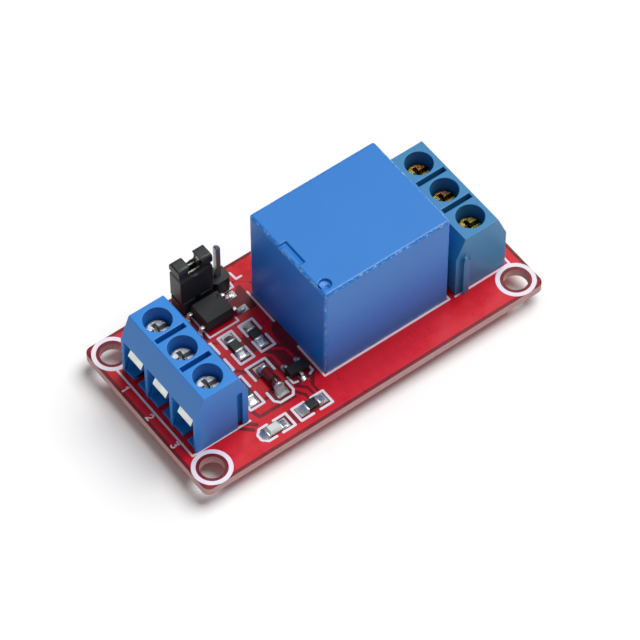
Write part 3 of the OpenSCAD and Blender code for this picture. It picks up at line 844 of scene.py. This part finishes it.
@dataclass
class Board:
    """The drilled board: laminate, copper under its mask, white legend and tinned pads."""

    length: float = 51.1
    width: float = 25.6
    thickness: float = 1.2
    corner: float = 1.0
    hole_x: float = 23.0
    hole_y: float = 10.3
    ring_in: float = 1.98
    ring_out: float = 2.55
    block_x: float = 19.6
    pole_pitch: float = 5.08
    relay_at: Point = (5.22, 0.09)
    header_at: Point = (-6.85, 10.79)
    header_pitch: float = 2.54
    # copper stands back from the board's edge, and laminate shows round each pin
    inset_top: float = 0.45
    inset_under: float = 0.35
    moat_top: float = 1.25
    moat_under: float = 1.55
    moat_track: float = 0.35
    land: float = 1.15
    tin: float = 1.08
    bore: float = 0.6
    # laminate bared under the switched side: middle, then length and width
    bare_under: tuple[float, float, float, float] = (9.5, 0.0, 22.6, 21.0)
    body: str = "module"

    def outline(self, inset: float) -> list[Point]:
        """Board outline with round corners.

        Args:
            inset: how far it stands back from the board's edge.

        Returns:
            The outline, anticlockwise.
        """
        a, b, r = self.length / 2 - inset, self.width / 2 - inset, max(0.2, self.corner - inset)
        corners = ((a - r, b - r), (-a + r, b - r), (-a + r, -b + r), (a - r, -b + r))
        return [p for i, (x, y) in enumerate(corners) for p in arc(x, y, r, math.pi / 2 * i, math.pi / 2, 6)]

    def holes(self, r: float, steps: int = 40) -> list[list[Point]]:
        """Round outlines at the four mounting holes."""
        return [disc(x, y, r, steps)
                for x in (-self.hole_x, self.hole_x) for y in (-self.hole_y, self.hole_y)]

    def pins(self) -> list[Point]:
        """Middles of all soldered pins.

        Returns:
            The pins of both blocks, then the relay's and the header's.
        """
        found = [(s * self.block_x, k * self.pole_pitch) for s in (-1, 1) for k in (-1, 0, 1)]
        found += [(self.relay_at[0] + x, self.relay_at[1] + y)
                  for x, y in ((-7.45, 0), (-5.6, -6), (-5.6, 6), (6.6, -6), (6.6, 6))]
        return found + [(self.header_at[0] - self.header_pitch * i, self.header_at[1]) for i in range(3)]

    def at_pins(self, r: float) -> list[list[Point]]:
        """Round outlines at the soldered pins."""
        return [disc(x, y, r) for x, y in self.pins()]

    def film(self, name: str, art: Artwork, face: float, layer: Layer, finish: Finish, slot: str) -> None:
        """Lay flat artwork on a face of the board.

        Args:
            name: the piece's name.
            art: its shapes.
            face: height of the face.
            layer: where the film lies over the face.
            finish: what its surface is.
            slot: the record's material slot, passed on to placed, which does not use it.
        """
        low, high = layer.value
        placed(name, art.mesh(name, face + low, face + high), finish, self.body, slot)

    def build(self) -> None:
        """Make the board's films and dress its laminate."""
        dress("board", Finish.MASK_ON_LAMINATE)
        self.copper_top()
        self.copper_under()
        self.legend()
        self.pads()

    def copper_top(self) -> None:
        """Raised copper under the mask on the component side, with its open gaps, one of them drawn wide to
        paint the relay's shadow and reflection on the board.
        """
        art = Artwork()
        art.add(self.outline(self.inset_top))
        art.cut(*self.holes(self.ring_in + 0.02), *self.at_pins(self.moat_top), *TOP_GAPS_AND_SHADOW)
        for run, width in TOP_GAP_LINES:
            art.cut(*stroke(run, width))
        for run, width in TOP_TRACKS:
            art.add(*stroke(run, width))
        self.film("copper_top", art, self.thickness, Layer.COPPER, Finish.MASK_ON_COPPER, "solder_mask")

    def copper_under(self) -> None:
        """Copper on the solder side: a ground pour and wide runs to the switched terminals."""
        art = Artwork()
        art.add(self.outline(self.inset_under))
        art.cut(*self.holes(self.ring_in + 0.4), bar(*self.bare_under, corner=1.0),
                *self.at_pins(self.moat_under))
        for run, width in UNDER_TRACKS:
            art.cut(*stroke(run, width + 2 * self.moat_track))
        for run, width in UNDER_TRACKS:
            art.add(*stroke(run, width))
        art.add(*self.at_pins(self.land))
        art.cut(*self.at_pins(self.bore + 0.02))
        self.film("copper_under", art, 0.0, Layer.COPPER_UNDER, Finish.MASK_ON_COPPER, "solder_mask")

    def legend(self) -> None:
        """White legend: rings, part outlines and plain terminal numbers."""
        art = Artwork()
        art.add(*self.holes(self.ring_out, 56))
        art.cut(*self.holes(self.ring_in, 48))
        for run, width in LEGEND_LINES:
            art.add(*stroke(run, width))
        self.film("legend_top", art, self.thickness, Layer.LEGEND, Finish.LEGEND_INK, "solder_mask")

    def pads(self) -> None:
        """Bare tinned pads under the small parts and round the pins on both faces."""
        art = Artwork()
        art.add(*PAD_SHAPES)
        self.film("pads_top", art, self.thickness, Layer.TIN, Finish.PAD_TIN, "solder")
        under = Artwork()
        under.add(*self.at_pins(self.tin))
        under.cut(*self.at_pins(self.bore))
        self.film("pads_under", under, 0.0, Layer.TIN_UNDER, Finish.PAD_TIN, "solder")


def bracket(x: float, y: float, length: float, width: float, angle: float, gap: float,
            cut: float = 0.0) -> list[list[Point]]:
    """Legend frame round a chip, open in the middle of its long sides.

    Args:
        x: middle of the frame along the board.
        y: middle across the board.
        length: size of the frame along the chip.
        width: size across the chip.
        angle: direction of the chip in degrees.
        gap: opening in the middle of each long side.
        cut: size of the cut corners at the frame's far end.

    Returns:
        The two runs of line.
    """
    a, b, g = length / 2, width / 2, gap / 2
    near = [(g, -b), (a, -b), (a, b), (g, b)]
    far = [(-g, b), (-a + cut, b), (-a, b - cut), (-a, -b + cut), (-a + cut, -b), (-g, -b)]
    return [turned(run, x, y, angle) for run in (near, far)]


# digits for the poles as runs of line, in a box 1 wide and 2 high round the middle
DIGIT_H = 0.95
DIGITS: dict[int, list[Point]] = {
    1: [(-0.35, 0.6), (0.1, 1.0), (0.1, -1.0)],
    2: [(-0.5, 0.6), (-0.2, 1.0), (0.25, 1.0), (0.5, 0.6), (0.45, 0.15), (-0.5, -1.0), (0.5, -1.0)],
    3: [(-0.5, 1.0), (0.5, 1.0), (-0.05, 0.2), (0.35, 0.1), (0.5, -0.4), (0.3, -0.9), (-0.1, -1.0),
        (-0.5, -0.8)],
}


# middles and directions of the chips, and the legend frames round them: middle, size and direction
CHIPS: dict[str, tuple[float, float, float]] = {
    "resistor_1": (-10.46, 2.2, 90.0),
    "resistor_2": (-7.55, 2.2, 90.0),
    "resistor_3": (-8.2, -10.2, 0.0),
    "resistor_4": (-13.6, 2.2, 90.0),
    "resistor_5": (-13.6, -4.1, 90.0),
    "light": (-14.0, -10.35, 0.0),
}
FRAMES: list[tuple[float, float, float, float, float]] = [
    (-10.47, 2.06, 4.72, 2.0, 90.0),
    (-7.355, 2.06, 4.72, 2.0, 90.0),
    (-8.19, -10.31, 4.63, 2.06, 0.0),
    (-13.6, 2.0, 4.8, 2.0, 90.0),
    (-13.5, -4.1, 4.75, 2.0, 90.0),
]
LIGHT_FRAME = (-13.73, -10.305, 4.56, 2.07, 0.0)
DIODE = (-9.95, -4.45)
OPTO = (-10.05, 7.5)
TRANSISTOR = (-6.6, -5.1)
LINE = 0.34

LEGEND_LINES: list[tuple[list[Point], float]] = [
    *[(run, LINE) for shape in FRAMES for run in bracket(*shape, 1.05)],
    *[(run, LINE) for run in bracket(*LIGHT_FRAME, 0.95, 0.65)],
    # diode: square bracket over its upper end, rounded cup round its lower end
    ([(-11.45, -3.3), (-11.45, -1.26), (-8.6, -1.26), (-8.6, -3.26)], LINE),
    ([(-11.47, -5.6), (-11.47, -7.05), (-10.95, -7.66), (-9.05, -7.66), (-8.58, -7.05), (-8.58, -5.6)], LINE),
    # transistor corners
    ([(-8.08, -5.2), (-8.05, -6.3), (-7.45, -6.45)], 0.3),
    ([(-5.0, -5.4), (-5.0, -6.15), (-5.6, -6.4)], 0.3),
    # optocoupler
    ([(-12.15, 9.4), (-12.15, 5.13), (-7.84, 5.13), (-7.84, 5.74)], 0.25),
    # relay outline, open at its common pin, then along its front
    ([(-4.43, 8.0), (-4.43, 2.5)], 0.28),
    ([(-4.34, -2.3), (-4.34, -7.74), (14.65, -7.74), (14.65, 8.0)], 0.28),
    # block outlines
    ([(-23.93, 8.03), (-23.93, -7.62), (-15.43, -7.62)], 0.28),
    ([(15.5, -7.85), (23.9, -7.85), (23.9, 8.0)], 0.28),
    # header outline
    ([(-7.0, 9.3), (-7.0, 9.65), (-5.4, 9.65), (-5.3, 10.4)], 0.3),
    ([(-4.47, 11.6), (-4.37, 10.4), (-3.6, 10.4)], 0.3),
    # plain pole numbers on both ends
    *[(turned(DIGITS[i], 24.72 * s, Board.pole_pitch * (i - 2) * s, 90.0 * s, DIGIT_H / 2), 0.2)
      for s in (-1, 1) for i in DIGITS],
]

TOP_GAPS_AND_SHADOW: list[list[Point]] = [
    # bare laminate inside the chips' frames
    *[bar(x, y, length - 0.3, width - 0.3, angle) for x, y, length, width, angle in (*FRAMES, LIGHT_FRAME)],
    # round the diode's ends
    [(-11.3, -3.4), (-8.7, -3.4), (-8.7, -1.4), (-11.3, -1.4)],
    [(-11.3, -5.4), (-11.3, -7.0), (-10.8, -7.5), (-9.2, -7.5), (-8.7, -7.0), (-8.7, -5.4)],
    # between the diode, the transistor and the relay
    [(-8.4, -0.5), (-8.4, -6.2), (-7.9, -6.8), (-5.2, -6.8), (-4.6, -6.2), (-4.6, -2.4), (-5.6, -0.5)],
    # round the optocoupler's leads, and beside the header
    [(-7.3, 5.6), (-4.55, 5.6), (-4.55, 9.4), (-5.0, 9.5), (-7.3, 9.5)],
    [(-12.95, 4.9), (-12.3, 4.9), (-12.3, 9.5), (-12.95, 9.5)],
    # between the two upright chips, and left of the diode
    [(-9.35, 0.2), (-8.5, 0.2), (-8.5, 3.2), (-9.35, 3.2)],
    [(-12.25, -6.4), (-11.7, -6.4), (-11.7, -5.9), (-12.25, -5.9)],
    # bare laminate round the relay's common pin, drawn wide and off the pin's middle to paint the relay's
    # shadow and reflection on the board
    disc(-2.6, 0.1, 3.2),
]
TOP_GAP_LINES: list[tuple[list[Point], float]] = [
    ([(-14.5, -6.6), (-14.2, -7.85), (-9.0, -7.95)], 0.5),
    ([(-8.6, -7.4), (-7.85, -8.6), (-7.85, -9.1)], 0.42),
    ([(-8.0, -6.8), (-6.95, -7.95), (-6.9, -9.1)], 0.5),
    ([(-5.5, -6.8), (-6.4, -7.95), (-6.35, -9.1)], 0.5),
    ([(-12.6, -0.6), (-11.6, -1.7)], 0.45),
    ([(-17.6, -7.3), (-15.9, -9.0)], 0.5),
    ([(-16.4, -7.3), (-15.2, -8.6)], 0.5),
    ([(-10.95, -9.3), (-10.95, -11.2)], 0.4),
    ([(-12.9, 4.7), (-12.0, 3.9)], 0.25),
    ([(-5.1, 10.3), (-4.0, 9.45), (-3.0, 8.7)], 0.25),
]
TOP_TRACKS: list[tuple[list[Point], float]] = [
    ([(-8.6, -0.6), (-7.6, -1.6), (-7.7, -3.7)], 0.42),
    ([(-7.1, -0.6), (-6.0, -1.4), (-5.7, -2.0), (-5.7, -3.6)], 0.42),
    ([(-6.65, -6.6), (-6.65, -9.0)], 0.35),
    ([(-6.0, 8.9), (-4.8, 9.9), (-3.6, 9.0)], 0.45),
    ([(-9.0, 3.0), (-8.8, 4.2)], 0.45),
]
UNDER_TRACKS: list[tuple[list[Point], float]] = [
    ([(-2.23, 0.09), (6.0, 0.09), (19.6, 0.0)], 3.2),
    ([(11.82, 6.09), (15.0, 5.08), (19.6, 5.08)], 3.0),
    ([(11.82, -5.91), (15.0, -5.08), (19.6, -5.08)], 3.0),
    ([(-0.38, 6.09), (-3.4, 6.09), (-6.85, 9.0)], 0.8),
    ([(-0.38, -5.91), (-4.0, -5.91), (-6.0, -4.0)], 0.8),
    ([(-19.6, 5.08), (-14.0, 5.08), (-11.93, 8.0), (-11.93, 10.79)], 0.8),
    ([(-19.6, 0.0), (-12.0, 0.0), (-8.0, 3.0)], 0.8),
    ([(-9.39, 10.79), (-9.39, 5.0), (-6.0, 1.6)], 0.6),
]

PAD_SHAPES: list[list[Point]] = [
    *[bar(*turned([(s, 0.0)], x, y, a)[0], 1.25, 1.4, a) for x, y, a in CHIPS.values() for s in (-1.4, 1.4)],
    bar(DIODE[0], -2.45, 1.5, 1.65, 90.0),
    bar(DIODE[0], -6.4, 1.4, 1.65, 90.0),
    *[bar(x, OPTO[1] + s, 1.4, 1.0) for x in (-13.4, -6.45) for s in (-1.27, 1.27)],
    *[bar(TRANSISTOR[0] + s, -4.0, 0.9, 0.75, 90.0) for s in (-0.95, 0.95)],
    bar(TRANSISTOR[0], -6.35, 1.1, 0.8, 90.0),
    *[disc(x, y, 1.05) for x, y in Board().pins()],
]


@dataclass
class TerminalBlock:
    """Three-pole screw block: housing, clamps with noses, guards and screws."""

    side: str
    plastic: Finish
    screw: Finish
    screw_slot: str
    edge: float = 0.09
    clamp_edge: float = 0.06
    screw_edge: float = 0.07
    body: str = "module"

    def build(self) -> None:
        """Round the housing's edges and dress what is in it."""
        softened(f"{self.side}_housing", f"{self.side}_block", self.plastic, self.body, "block_plastic",
                 self.edge)
        for i in (1, 2, 3):
            softened(f"{self.side}_clamp_{i}", f"{self.side}_clamp_frame_{i}", Finish.CLAMP_TIN, self.body,
                     "clamp_metal", self.clamp_edge)
            dress(f"{self.side}_guard_{i}", Finish.GUARD_ZINC)
            softened(f"{self.side}_screw_{i}", f"{self.side}_screw_head_{i}", self.screw,
                     f"{self.side}_screw_body_{i}", self.screw_slot, self.screw_edge)


@dataclass
class Relay:
    """Box relay: satin cover over its base, coil, armature and contacts."""

    edge: float = 0.14
    body: str = "module"

    def build(self) -> None:
        """Round the cover's edges and dress the works under it."""
        softened("relay_cover", "relay_case", Finish.RELAY_COVER, self.body, "relay_plastic", self.edge, 3)
        works = {
            Finish.HEADER_NYLON: ("base",),
            Finish.RELAY_IRON: ("yoke", "core", "armature"),
            Finish.BOBBIN_NYLON: ("bobbin",),
            Finish.WINDING: ("coil",),
            Finish.SPRING_BRONZE: ("contact_spring",),
            Finish.PIN_TIN: ("coil_pins", "common_terminal", "nc_terminal", "no_terminal"),
        }
        for finish, names in works.items():
            for name in names:
                dress(f"relay_{name}", finish)


@dataclass
class HeaderAndJumper:
    """Three-pin header with the jumper cap on two of its pins."""

    strip_edge: float = 0.07
    shell_edge: float = 0.09

    def build(self) -> None:
        """Round the mouldings' edges and dress the metal."""
        softened("header_base", "header_strip", Finish.HEADER_NYLON, "module", "black_plastic",
                 self.strip_edge)
        dress("header_pins", Finish.PIN_TIN)
        softened("jumper_cap", "jumper_shell", Finish.HEADER_NYLON, "jumper", "black_plastic",
                 self.shell_edge)
        dress("jumper_contact", Finish.JUMPER_STRIP)


@dataclass
class SmallParts:
    """Surface-mounted parts between the header and the relay."""

    body: str = "module"
    board_top: float = 1.2
    diode_axis: float = 0.725
    band_offset: float = 0.62

    def build(self) -> None:
        """Round the bodies, dress the leads and lay the solder."""
        for node, name, finish, slot, edge in (
            ("optocoupler_body", "optocoupler_case", Finish.MOULD_COMPOUND, "chip_plastic", 0.08),
            ("optocoupler_leads", "optocoupler_feet", Finish.LEAD_TIN, "lead_metal", 0.04),
            ("transistor_body", "transistor_case", Finish.MOULD_COMPOUND, "chip_plastic", 0.05),
            ("transistor_leads", "transistor_feet", Finish.LEAD_TIN, "lead_metal", 0.03),
            ("resistor_1", "resistor_chip_1", Finish.RESISTOR_GREEN, "resistor_body", 0.05),
            *[(f"resistor_{i}", f"resistor_chip_{i}", Finish.RESISTOR_GLAZE, "resistor_body", 0.05)
              for i in (2, 3, 4, 5)],
            ("resistor_ends", "resistor_caps", Finish.SOLDER, "lead_metal", 0.08),
            ("power_led_ends", "light_caps", Finish.SOLDER, "lead_metal", 0.05),
            ("power_led", "light_lens", Finish.LENS_RESIN, "led_body", 0.05),
            ("diode_glass", "diode_tube", Finish.DIODE_GLASS, "diode_glass", 0.05),
            ("diode_caps", "diode_ends", Finish.SOLDER, "lead_metal", 0.12),
        ):
            softened(node, name, finish, self.body, slot, edge)
        self.diode_band()
        self.reflowed()
        self.wave_soldered()

    def diode_band(self) -> None:
        """Painted ring near one end of the diode's glass, to mark its cathode."""
        profile = [(0.67, -0.21), (0.69, -0.21), (0.7, -0.19), (0.7, 0.19), (0.69, 0.21), (0.67, 0.21),
                   (0.67, -0.21)]
        place = Matrix.Translation((DIODE[0] * MM, (DIODE[1] - self.band_offset) * MM,
                                    (self.board_top + self.diode_axis) * MM))
        ring = revolved(profile, place @ Matrix.Rotation(math.pi / 2, 4, "X"), 32)
        bmesh.ops.remove_doubles(ring, verts=ring.verts, dist=1e-8)
        placed("diode_band", joined("diode_band", [ring]), Finish.BAND_INK, self.body, "diode_glass")

    def ramp(self, x: float, y: float, angle: float, width: float, rise: float,
             reach: float) -> bmesh.types.BMesh:
        """Solder that climbs one end of a part: hollow towards its foot, round at both sides.

        Args:
            x: middle of the part's end face along the board.
            y: middle of the end face across the board.
            angle: direction in which the solder runs out, in degrees.
            width: width of the solder.
            rise: height that it climbs.
            reach: length that it runs out.

        Returns:
            A new closed bmesh, in metres.
        """
        bm = bmesh.new()
        across, along = 12, 8
        low, high = [], []
        for i in range(along + 1):
            u = i / along
            for j in range(across + 1):
                v = 2 * j / across - 1
                px = -0.04 + (reach + 0.04) * u * (1 - 0.18 * abs(v) ** 3)
                py = v * width / 2 * (1 - 0.1 * u**3)
                h = 0.02 + rise * ((1 - u) ** 1.7 * 0.8 + 0.2 * (1 - u * u)) * (1 - 0.75 * v**6)
                spot = [n * MM for n in turned([(px, py)], x, y, angle)[0]]
                low.append(bm.verts.new((*spot, (self.board_top + 0.002) * MM)))
                high.append(bm.verts.new((*spot, (self.board_top + h) * MM)))
        row = across + 1
        for i in range(along):
            for j in range(across):
                a, b, c, d = i * row + j, (i + 1) * row + j, (i + 1) * row + j + 1, i * row + j + 1
                bm.faces.new([high[a], high[b], high[c], high[d]])
                bm.faces.new([low[d], low[c], low[b], low[a]])
        rim = [i * row for i in range(along)] + [along * row + j for j in range(across)]
        rim += [i * row + across for i in range(along, 0, -1)] + list(range(across, 0, -1))
        for a, b in zip(rim, rim[1:] + rim[:1]):
            bm.faces.new([low[a], low[b], high[b], high[a]])
        bmesh.ops.recalc_face_normals(bm, faces=bm.faces)
        return bm

    def reflowed(self) -> None:
        """Solder ramps at both ends of every chip and of the diode, and at the feet of the leads."""
        ramps = []
        for name, (x, y, angle) in CHIPS.items():
            half, rise = (1.1, 0.34) if name == "light" else (1.0, 0.5)
            for turn in (angle, angle + 180):
                ramps.append(self.ramp(*turned([(half, 0.0)], x, y, turn)[0], turn, 1.34, rise, 0.92))
        for turn in (90, -90):
            end = DIODE[1] + math.copysign(1.75, turn)
            ramps.append(self.ramp(DIODE[0], end, turn, 1.5, 0.85, 0.8))
        for side, turn in ((1, 0), (-1, 180)):
            for row in (-1.27, 1.27):
                ramps.append(self.ramp(OPTO[0] + side * 2.72, OPTO[1] + row, turn, 0.95, 0.5, 1.45))
        for x, y, turn in ((-0.95, 1.15, 90), (0.95, 1.15, 90), (0.0, -1.15, -90)):
            ramps.append(self.ramp(TRANSISTOR[0] + x, TRANSISTOR[1] + y, turn, 0.62, 0.28, 0.62))
        piece = placed("reflow_ramps", joined("reflow_ramps", ramps, 60.0), Finish.SOLDER, self.body,
                       "solder")
        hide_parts("smd_solder")

    def wave_soldered(self) -> None:
        """Solder cones under the board, hollow towards the pad and wetted up each tail."""
        profile = [(0.0, -1.0), (0.66, -1.0), (0.7, -0.85), (0.76, -0.6), (0.85, -0.35), (0.98, -0.15),
                   (1.06, -0.05), (1.06, 0.0), (0.0, 0.0)]
        cones = [revolved(profile, Matrix.Translation((x * MM, y * MM, 0.0)), 28) for x, y in Board().pins()]
        piece = placed("wave_solder", joined("wave_solder", cones, 50.0), Finish.SOLDER, self.body, "solder")
        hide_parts("solder_joints")


@dataclass
class Studio:
    """Pale floor, soft lamps and the camera."""

    azimuth: float = -36.715
    elevation: float = 54.221
    distance: float = 498.054
    lens: float = 230.18
    target: Point3 = (0.155, -0.729, 1.2)
    roll: float = -0.158
    floor_z: float = -1.9
    floor_reach: float = 20000.0
    room: float = 0.27
    key: float = 2.75
    key_spread: float = 45.0
    key_from: Point3 = (0.45, 0.0, 0.89)

    def build(self) -> None:
        """Set the floor, the light and the camera."""
        self.floor()
        self.lights()
        self.camera()
        bpy.context.scene.view_settings.view_transform = "Standard"

    def floor(self) -> None:
        """Lay a white sweep under the tails of the pins."""
        mesh = bpy.data.meshes.new("floor")
        r, z = self.floor_reach * MM, self.floor_z * MM
        mesh.from_pydata([(-r, -r, z), (r, -r, z), (r, r, z), (-r, r, z)], [], [(0, 1, 2, 3)])
        mesh.materials.append(Finish.PAPER.material())
        sweep = bpy.data.objects.new("floor", mesh)
        bpy.context.scene.collection.objects.link(sweep)

    def lights(self) -> None:
        """Even grey surroundings and one very broad lamp, high and a little to the switched end."""
        world = bpy.data.worlds.new("studio")
        bpy.context.scene.world = world
        world.use_nodes = True
        tree = world.node_tree
        tree.nodes.clear()
        soft = add_node(tree, "Background", {"Color": (1, 1, 1, 1), "Strength": self.room})
        add_node(tree, "OutputWorld", links={"Surface": soft})
        lamp = bpy.data.lights.new("key", "SUN")
        lamp.energy = self.key
        lamp.angle = math.radians(self.key_spread)
        holder = bpy.data.objects.new("key", lamp)
        bpy.context.scene.collection.objects.link(holder)
        holder.rotation_euler = Vector(self.key_from).to_track_quat("Z", "Y").to_euler()

    def camera(self) -> None:
        """Point a long lens down at the board's middle."""
        data = bpy.data.cameras.new("camera")
        data.lens = self.lens
        data.sensor_width = 36.0
        data.clip_start, data.clip_end = 0.01, 20.0
        holder = bpy.data.objects.new("camera", data)
        bpy.context.scene.collection.objects.link(holder)
        a, e = math.radians(self.azimuth), math.radians(self.elevation)
        back = Vector((math.sin(a) * math.cos(e), -math.cos(a) * math.cos(e), math.sin(e)))
        holder.location = (Vector(self.target) + back * self.distance) * MM
        turn = (-back).to_track_quat("-Z", "Y").to_matrix() @ Matrix.Rotation(math.radians(self.roll), 3, "Z")
        holder.rotation_euler = turn.to_euler()
        bpy.context.scene.camera = holder


def main() -> None:
    """Build every sub-assembly in order."""
    logging.basicConfig(level=logging.INFO, format="%(message)s")
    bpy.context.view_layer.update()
    Studio().build()
    Board().build()
    TerminalBlock("input", Finish.BLOCK_NYLON, Finish.SCREW_CLEAR, "screw_zinc").build()
    TerminalBlock("output", Finish.BLOCK_NYLON_GREY, Finish.SCREW_YELLOW, "screw_yellow").build()
    Relay().build()
    HeaderAndJumper().build()
    SmallParts().build()


if __name__ == "__main__":
    main()
